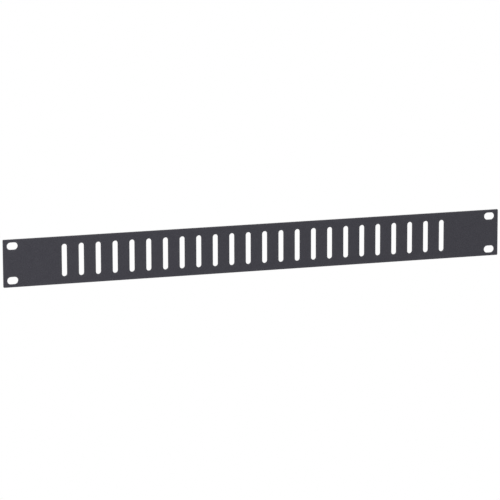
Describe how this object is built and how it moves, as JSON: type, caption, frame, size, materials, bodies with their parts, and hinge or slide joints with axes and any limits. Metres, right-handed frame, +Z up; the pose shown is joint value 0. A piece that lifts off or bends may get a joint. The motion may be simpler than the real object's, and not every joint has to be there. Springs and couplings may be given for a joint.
{
  "type": "vented rack blanking panel",
  "caption": "Flat black sheet-steel blanking panel for a 19 inch rack, one unit high, with a bank of upright vent slots and an oblong screw slot near each corner.",
  "frame": {"origin": "centre of the four screw slots on the back face, the face that lies against the rack's rails", "axes": "+X along the panel to the right as seen from the front, +Y from front to back out of the mounting face, +Z up"},
  "size_m": [0.4826, 0.0015, 0.044],
  "materials": {
    "powder_coat": "black powder coat, fine texture, semi-matt"
  },
  "bodies": {
    "root": {"panel": "powder_coat"}
  },
  "joints": []
}
